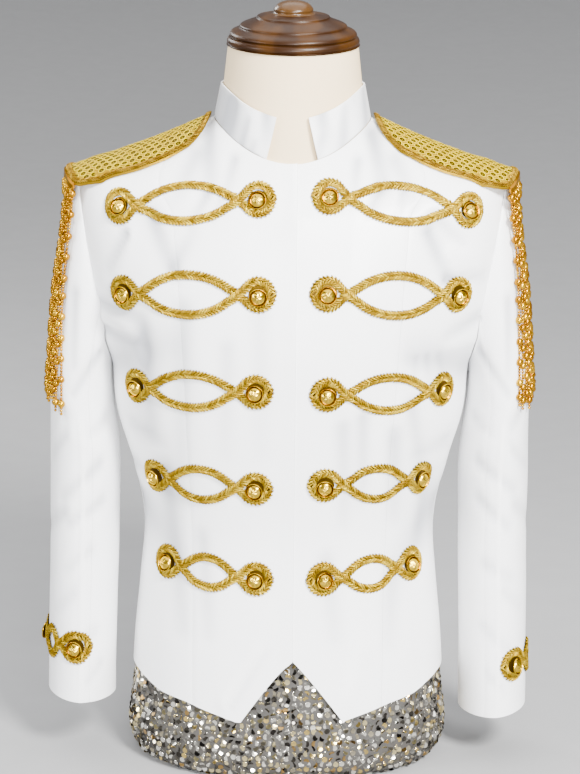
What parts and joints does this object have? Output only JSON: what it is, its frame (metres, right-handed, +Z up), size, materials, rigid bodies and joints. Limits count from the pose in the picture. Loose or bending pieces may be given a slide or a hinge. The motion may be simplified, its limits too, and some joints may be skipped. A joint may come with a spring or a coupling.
{
  "type": "sequined costume jacket on a limbless dress form",
  "caption": "Short stand-collar costume jacket with braided frogs, domed buttons and fringed sequined epaulettes, worn by a limbless dress form with a turned neck cap.",
  "frame": {"origin": "middle of the dress form's flat base, on the surface it stands on", "axes": "+Z up, the jacket's front faces -Y, +X is the wearer's left"},
  "size_m": [0.4984, 0.2517, 0.7481],
  "materials": {
    "white_cloth": "smooth white twill with a soft sheen",
    "gold_braid": "plaited metallic gold cord",
    "gold_sequins": "yellow-gold sequins sewn in rows",
    "gold_beads": "strings of shiny gold beads",
    "brass": "polished, domed",
    "form_cloth": "cream cloth above, sequined cloth below",
    "dark_wood": "glossy brown varnish"
  },
  "bodies": {
    "root": {"back_left": "white_cloth", "back_right": "white_cloth", "button_L1_in": "brass", "button_L1_out": "brass", "button_L2_in": "brass", "button_L2_out": "brass", "button_L3_in": "brass", "button_L3_out": "brass", "button_L4_in": "brass", "button_L4_out": "brass", "button_L5_in": "brass", "button_L5_out": "brass", "button_R1_in": "brass", "button_R1_out": "brass", "button_R2_in": "brass", "button_R2_out": "brass", "button_R3_in": "brass", "button_R3_out": "brass", "button_R4_in": "brass", "button_R4_out": "brass", "button_R5_in": "brass", "button_R5_out": "brass", "button_cuff_L_in": "brass", "button_cuff_L_out": "brass", "button_cuff_R_in": "brass", "button_cuff_R_out": "brass", "collar": "white_cloth", "epaulette_left": "gold_sequins", "epaulette_right": "gold_sequins", "epaulette_trim_left": "gold_braid", "epaulette_trim_right": "gold_braid", "form_cap": "dark_wood", "form_torso": "form_cloth", "fringe_left": "gold_beads", "fringe_right": "gold_beads", "frog_L1": "gold_braid", "frog_L2": "gold_braid", "frog_L3": "gold_braid", "frog_L4": "gold_braid", "frog_L5": "gold_braid", "frog_R1": "gold_braid", "frog_R2": "gold_braid", "frog_R3": "gold_braid", "frog_R4": "gold_braid", "frog_R5": "gold_braid", "frog_cuff_L": "gold_braid", "frog_cuff_R": "gold_braid", "front_left": "white_cloth", "front_right": "white_cloth", "side_front_left": "white_cloth", "side_front_right": "white_cloth", "top_sleeve_left": "white_cloth", "top_sleeve_right": "white_cloth", "under_sleeve_left": "white_cloth", "under_sleeve_right": "white_cloth"}
  },
  "joints": []
}
